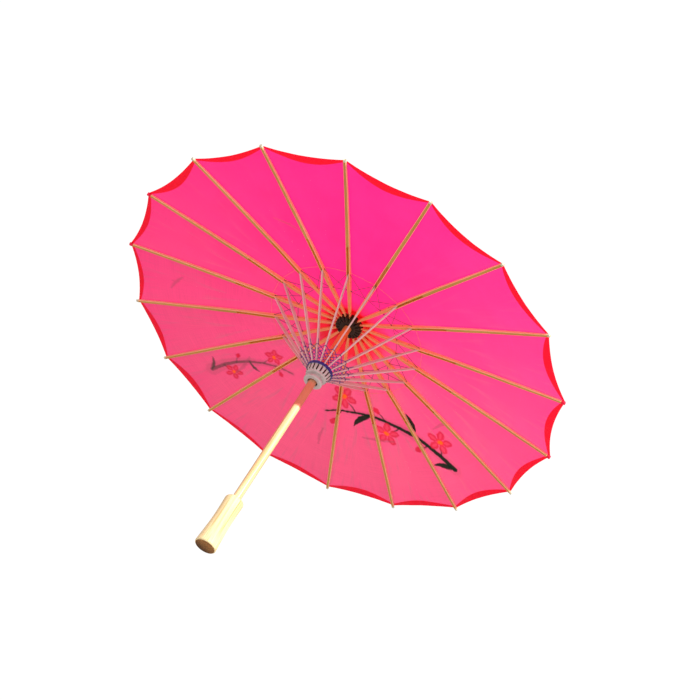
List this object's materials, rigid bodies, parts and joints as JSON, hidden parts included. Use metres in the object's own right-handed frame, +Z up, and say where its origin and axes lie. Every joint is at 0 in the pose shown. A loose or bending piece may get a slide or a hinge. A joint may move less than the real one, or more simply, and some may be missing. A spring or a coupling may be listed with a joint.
{
  "type": "oil paper umbrella",
  "caption": "Round parasol with a painted pink cloth canopy on bamboo ribs, opened by stretchers from a runner that slides on a wooden shaft with a turned grip.",
  "frame": {"origin": "centre of the handle's flat end face", "axes": "+Z up the shaft towards the crown, +X along rib_00"},
  "size_m": [0.8408, 0.8288, 0.549],
  "materials": {
    "pale_wood": "satin",
    "hub_wood": "matte",
    "runner_wood": "matte",
    "rib_bamboo": "satin",
    "stretcher_bamboo": "satin",
    "catch_bamboo": "matte",
    "pink_cloth": "matte",
    "hem_cloth": "matte",
    "indigo_thread": "matte",
    "pink_thread": "matte"
  },
  "bodies": {
    "root": {"shaft": "pale_wood", "handle": "pale_wood", "crown_hub": "hub_wood", "finial": "pale_wood"},
    "runner": {"runner": "runner_wood"},
    "catch_spring": {"catch_spring": "catch_bamboo"},
    "rib_00": {"rib_00": "rib_bamboo", "canopy_gore_00": "pink_cloth"},
    "stretcher_00": {"stretcher_00": "stretcher_bamboo"},
    "rib_01": {"rib_01": "rib_bamboo", "canopy_gore_01": "pink_cloth"},
    "stretcher_01": {"stretcher_01": "stretcher_bamboo"},
    "rib_02": {"rib_02": "rib_bamboo", "canopy_gore_02": "pink_cloth"},
    "stretcher_02": {"stretcher_02": "stretcher_bamboo"},
    "rib_03": {"rib_03": "rib_bamboo", "canopy_gore_03": "pink_cloth"},
    "stretcher_03": {"stretcher_03": "stretcher_bamboo"},
    "rib_04": {"rib_04": "rib_bamboo", "canopy_gore_04": "pink_cloth"},
    "stretcher_04": {"stretcher_04": "stretcher_bamboo"},
    "rib_05": {"rib_05": "rib_bamboo", "canopy_gore_05": "pink_cloth"},
    "stretcher_05": {"stretcher_05": "stretcher_bamboo"},
    "rib_06": {"rib_06": "rib_bamboo", "canopy_gore_06": "pink_cloth"},
    "stretcher_06": {"stretcher_06": "stretcher_bamboo"},
    "rib_07": {"rib_07": "rib_bamboo", "canopy_gore_07": "pink_cloth"},
    "stretcher_07": {"stretcher_07": "stretcher_bamboo"},
    "rib_08": {"rib_08": "rib_bamboo", "canopy_gore_08": "pink_cloth"},
    "stretcher_08": {"stretcher_08": "stretcher_bamboo"},
    "rib_09": {"rib_09": "rib_bamboo", "canopy_gore_09": "pink_cloth"},
    "stretcher_09": {"stretcher_09": "stretcher_bamboo"},
    "rib_10": {"rib_10": "rib_bamboo", "canopy_gore_10": "pink_cloth"},
    "stretcher_10": {"stretcher_10": "stretcher_bamboo"},
    "rib_11": {"rib_11": "rib_bamboo", "canopy_gore_11": "pink_cloth"},
    "stretcher_11": {"stretcher_11": "stretcher_bamboo"},
    "rib_12": {"rib_12": "rib_bamboo", "canopy_gore_12": "pink_cloth"},
    "stretcher_12": {"stretcher_12": "stretcher_bamboo"},
    "rib_13": {"rib_13": "rib_bamboo", "canopy_gore_13": "pink_cloth"},
    "stretcher_13": {"stretcher_13": "stretcher_bamboo"},
    "rib_14": {"rib_14": "rib_bamboo", "canopy_gore_14": "pink_cloth"},
    "stretcher_14": {"stretcher_14": "stretcher_bamboo"},
    "rib_15": {"rib_15": "rib_bamboo", "canopy_gore_15": "pink_cloth"},
    "stretcher_15": {"stretcher_15": "stretcher_bamboo"},
    "rib_16": {"rib_16": "rib_bamboo", "canopy_gore_16": "pink_cloth"},
    "stretcher_16": {"stretcher_16": "stretcher_bamboo"},
    "rib_17": {"rib_17": "rib_bamboo", "canopy_gore_17": "pink_cloth"},
    "stretcher_17": {"stretcher_17": "stretcher_bamboo"}
  },
  "joints": [
    {"name": "runner_slide", "type": "slide", "parent": "root", "child": "runner", "axis": [0, 0, -1], "range_m": [0, 0.16567], "deforming": ["canopy_gore_00", "canopy_gore_01", "canopy_gore_02", "canopy_gore_03", "canopy_gore_04", "canopy_gore_05", "canopy_gore_06", "canopy_gore_07", "canopy_gore_08", "canopy_gore_09", "canopy_gore_10", "canopy_gore_11", "canopy_gore_12", "canopy_gore_13", "canopy_gore_14", "canopy_gore_15", "canopy_gore_16", "canopy_gore_17", "catch_spring"]},
    {"name": "catch_press", "type": "hinge", "parent": "root", "child": "catch_spring", "pos_m": [-0.00245, -0.00206, 0.335], "axis": [-0.6428, 0.766, 0], "range_deg": [0, 9], "stiffness_Nm_per_rad": 1.2},
    {"name": "rib_hinge_00", "type": "hinge", "parent": "root", "child": "rib_00", "pos_m": [0.019, 0, 0.5232], "axis": [0, 1, 0], "range_deg": [0, 79.4]},
    {"name": "stretcher_hinge_00", "type": "hinge", "parent": "rib_00", "child": "stretcher_00", "pos_m": [0.14346, 0, 0.50619], "axis": [0, 1, 0], "range_deg": [-126.7, 0]},
    {"name": "rib_hinge_01", "type": "hinge", "parent": "root", "child": "rib_01", "pos_m": [0.01785, -0.0065, 0.5232], "axis": [0.342, 0.9397, 0], "range_deg": [0, 79.4]},
    {"name": "stretcher_hinge_01", "type": "hinge", "parent": "rib_01", "child": "stretcher_01", "pos_m": [0.13481, -0.04907, 0.50619], "axis": [0.342, 0.9397, 0], "range_deg": [-126.7, 0]},
    {"name": "rib_hinge_02", "type": "hinge", "parent": "root", "child": "rib_02", "pos_m": [0.01455, -0.01221, 0.5232], "axis": [0.6428, 0.766, 0], "range_deg": [0, 79.4]},
    {"name": "stretcher_hinge_02", "type": "hinge", "parent": "rib_02", "child": "stretcher_02", "pos_m": [0.1099, -0.09221, 0.50619], "axis": [0.6428, 0.766, 0], "range_deg": [-126.7, 0]},
    {"name": "rib_hinge_03", "type": "hinge", "parent": "root", "child": "rib_03", "pos_m": [0.0095, -0.01645, 0.5232], "axis": [0.866, 0.5, 0], "range_deg": [0, 79.4]},
    {"name": "stretcher_hinge_03", "type": "hinge", "parent": "rib_03", "child": "stretcher_03", "pos_m": [0.07173, -0.12424, 0.50619], "axis": [0.866, 0.5, 0], "range_deg": [-126.7, 0]},
    {"name": "rib_hinge_04", "type": "hinge", "parent": "root", "child": "rib_04", "pos_m": [0.0033, -0.01871, 0.5232], "axis": [0.9848, 0.1736, 0], "range_deg": [0, 79.4]},
    {"name": "stretcher_hinge_04", "type": "hinge", "parent": "rib_04", "child": "stretcher_04", "pos_m": [0.02491, -0.14128, 0.50619], "axis": [0.9848, 0.1736, 0], "range_deg": [-126.7, 0]},
    {"name": "rib_hinge_05", "type": "hinge", "parent": "root", "child": "rib_05", "pos_m": [-0.0033, -0.01871, 0.5232], "axis": [0.9848, -0.1736, 0], "range_deg": [0, 79.4]},
    {"name": "stretcher_hinge_05", "type": "hinge", "parent": "rib_05", "child": "stretcher_05", "pos_m": [-0.02491, -0.14128, 0.50619], "axis": [0.9848, -0.1736, 0], "range_deg": [-126.7, 0]},
    {"name": "rib_hinge_06", "type": "hinge", "parent": "root", "child": "rib_06", "pos_m": [-0.0095, -0.01645, 0.5232], "axis": [0.866, -0.5, 0], "range_deg": [0, 79.4]},
    {"name": "stretcher_hinge_06", "type": "hinge", "parent": "rib_06", "child": "stretcher_06", "pos_m": [-0.07173, -0.12424, 0.50619], "axis": [0.866, -0.5, 0], "range_deg": [-126.7, 0]},
    {"name": "rib_hinge_07", "type": "hinge", "parent": "root", "child": "rib_07", "pos_m": [-0.01455, -0.01221, 0.5232], "axis": [0.6428, -0.766, 0], "range_deg": [0, 79.4]},
    {"name": "stretcher_hinge_07", "type": "hinge", "parent": "rib_07", "child": "stretcher_07", "pos_m": [-0.1099, -0.09221, 0.50619], "axis": [0.6428, -0.766, 0], "range_deg": [-126.7, 0]},
    {"name": "rib_hinge_08", "type": "hinge", "parent": "root", "child": "rib_08", "pos_m": [-0.01785, -0.0065, 0.5232], "axis": [0.342, -0.9397, 0], "range_deg": [0, 79.4]},
    {"name": "stretcher_hinge_08", "type": "hinge", "parent": "rib_08", "child": "stretcher_08", "pos_m": [-0.13481, -0.04907, 0.50619], "axis": [0.342, -0.9397, 0], "range_deg": [-126.7, 0]},
    {"name": "rib_hinge_09", "type": "hinge", "parent": "root", "child": "rib_09", "pos_m": [-0.019, 0, 0.5232], "axis": [0, -1, 0], "range_deg": [0, 79.4]},
    {"name": "stretcher_hinge_09", "type": "hinge", "parent": "rib_09", "child": "stretcher_09", "pos_m": [-0.14346, 0, 0.50619], "axis": [0, -1, 0], "range_deg": [-126.7, 0]},
    {"name": "rib_hinge_10", "type": "hinge", "parent": "root", "child": "rib_10", "pos_m": [-0.01785, 0.0065, 0.5232], "axis": [-0.342, -0.9397, 0], "range_deg": [0, 79.4]},
    {"name": "stretcher_hinge_10", "type": "hinge", "parent": "rib_10", "child": "stretcher_10", "pos_m": [-0.13481, 0.04907, 0.50619], "axis": [-0.342, -0.9397, 0], "range_deg": [-126.7, 0]},
    {"name": "rib_hinge_11", "type": "hinge", "parent": "root", "child": "rib_11", "pos_m": [-0.01455, 0.01221, 0.5232], "axis": [-0.6428, -0.766, 0], "range_deg": [0, 79.4]},
    {"name": "stretcher_hinge_11", "type": "hinge", "parent": "rib_11", "child": "stretcher_11", "pos_m": [-0.1099, 0.09221, 0.50619], "axis": [-0.6428, -0.766, 0], "range_deg": [-126.7, 0]},
    {"name": "rib_hinge_12", "type": "hinge", "parent": "root", "child": "rib_12", "pos_m": [-0.0095, 0.01645, 0.5232], "axis": [-0.866, -0.5, 0], "range_deg": [0, 79.4]},
    {"name": "stretcher_hinge_12", "type": "hinge", "parent": "rib_12", "child": "stretcher_12", "pos_m": [-0.07173, 0.12424, 0.50619], "axis": [-0.866, -0.5, 0], "range_deg": [-126.7, 0]},
    {"name": "rib_hinge_13", "type": "hinge", "parent": "root", "child": "rib_13", "pos_m": [-0.0033, 0.01871, 0.5232], "axis": [-0.9848, -0.1736, 0], "range_deg": [0, 79.4]},
    {"name": "stretcher_hinge_13", "type": "hinge", "parent": "rib_13", "child": "stretcher_13", "pos_m": [-0.02491, 0.14128, 0.50619], "axis": [-0.9848, -0.1736, 0], "range_deg": [-126.7, 0]},
    {"name": "rib_hinge_14", "type": "hinge", "parent": "root", "child": "rib_14", "pos_m": [0.0033, 0.01871, 0.5232], "axis": [-0.9848, 0.1736, 0], "range_deg": [0, 79.4]},
    {"name": "stretcher_hinge_14", "type": "hinge", "parent": "rib_14", "child": "stretcher_14", "pos_m": [0.02491, 0.14128, 0.50619], "axis": [-0.9848, 0.1736, 0], "range_deg": [-126.7, 0]},
    {"name": "rib_hinge_15", "type": "hinge", "parent": "root", "child": "rib_15", "pos_m": [0.0095, 0.01645, 0.5232], "axis": [-0.866, 0.5, 0], "range_deg": [0, 79.4]},
    {"name": "stretcher_hinge_15", "type": "hinge", "parent": "rib_15", "child": "stretcher_15", "pos_m": [0.07173, 0.12424, 0.50619], "axis": [-0.866, 0.5, 0], "range_deg": [-126.7, 0]},
    {"name": "rib_hinge_16", "type": "hinge", "parent": "root", "child": "rib_16", "pos_m": [0.01455, 0.01221, 0.5232], "axis": [-0.6428, 0.766, 0], "range_deg": [0, 79.4]},
    {"name": "stretcher_hinge_16", "type": "hinge", "parent": "rib_16", "child": "stretcher_16", "pos_m": [0.1099, 0.09221, 0.50619], "axis": [-0.6428, 0.766, 0], "range_deg": [-126.7, 0]},
    {"name": "rib_hinge_17", "type": "hinge", "parent": "root", "child": "rib_17", "pos_m": [0.01785, 0.0065, 0.5232], "axis": [-0.342, 0.9397, 0], "range_deg": [0, 79.4]},
    {"name": "stretcher_hinge_17", "type": "hinge", "parent": "rib_17", "child": "stretcher_17", "pos_m": [0.13481, 0.04907, 0.50619], "axis": [-0.342, 0.9397, 0], "range_deg": [-126.7, 0]}
  ],
  "couplings": [
    {"joint": "rib_hinge_00", "follows": "runner_slide", "rad_per_m": 8.3566},
    {"joint": "stretcher_hinge_00", "follows": "runner_slide", "rad_per_m": -13.335},
    {"joint": "rib_hinge_01", "follows": "runner_slide", "rad_per_m": 8.3566},
    {"joint": "stretcher_hinge_01", "follows": "runner_slide", "rad_per_m": -13.335},
    {"joint": "rib_hinge_02", "follows": "runner_slide", "rad_per_m": 8.3566},
    {"joint": "stretcher_hinge_02", "follows": "runner_slide", "rad_per_m": -13.335},
    {"joint": "rib_hinge_03", "follows": "runner_slide", "rad_per_m": 8.3566},
    {"joint": "stretcher_hinge_03", "follows": "runner_slide", "rad_per_m": -13.335},
    {"joint": "rib_hinge_04", "follows": "runner_slide", "rad_per_m": 8.3566},
    {"joint": "stretcher_hinge_04", "follows": "runner_slide", "rad_per_m": -13.335},
    {"joint": "rib_hinge_05", "follows": "runner_slide", "rad_per_m": 8.3566},
    {"joint": "stretcher_hinge_05", "follows": "runner_slide", "rad_per_m": -13.335},
    {"joint": "rib_hinge_06", "follows": "runner_slide", "rad_per_m": 8.3566},
    {"joint": "stretcher_hinge_06", "follows": "runner_slide", "rad_per_m": -13.335},
    {"joint": "rib_hinge_07", "follows": "runner_slide", "rad_per_m": 8.3566},
    {"joint": "stretcher_hinge_07", "follows": "runner_slide", "rad_per_m": -13.335},
    {"joint": "rib_hinge_08", "follows": "runner_slide", "rad_per_m": 8.3566},
    {"joint": "stretcher_hinge_08", "follows": "runner_slide", "rad_per_m": -13.335},
    {"joint": "rib_hinge_09", "follows": "runner_slide", "rad_per_m": 8.3566},
    {"joint": "stretcher_hinge_09", "follows": "runner_slide", "rad_per_m": -13.335},
    {"joint": "rib_hinge_10", "follows": "runner_slide", "rad_per_m": 8.3566},
    {"joint": "stretcher_hinge_10", "follows": "runner_slide", "rad_per_m": -13.335},
    {"joint": "rib_hinge_11", "follows": "runner_slide", "rad_per_m": 8.3566},
    {"joint": "stretcher_hinge_11", "follows": "runner_slide", "rad_per_m": -13.335},
    {"joint": "rib_hinge_12", "follows": "runner_slide", "rad_per_m": 8.3566},
    {"joint": "stretcher_hinge_12", "follows": "runner_slide", "rad_per_m": -13.335},
    {"joint": "rib_hinge_13", "follows": "runner_slide", "rad_per_m": 8.3566},
    {"joint": "stretcher_hinge_13", "follows": "runner_slide", "rad_per_m": -13.335},
    {"joint": "rib_hinge_14", "follows": "runner_slide", "rad_per_m": 8.3566},
    {"joint": "stretcher_hinge_14", "follows": "runner_slide", "rad_per_m": -13.335},
    {"joint": "rib_hinge_15", "follows": "runner_slide", "rad_per_m": 8.3566},
    {"joint": "stretcher_hinge_15", "follows": "runner_slide", "rad_per_m": -13.335},
    {"joint": "rib_hinge_16", "follows": "runner_slide", "rad_per_m": 8.3566},
    {"joint": "stretcher_hinge_16", "follows": "runner_slide", "rad_per_m": -13.335},
    {"joint": "rib_hinge_17", "follows": "runner_slide", "rad_per_m": 8.3566},
    {"joint": "stretcher_hinge_17", "follows": "runner_slide", "rad_per_m": -13.335}
  ]
}
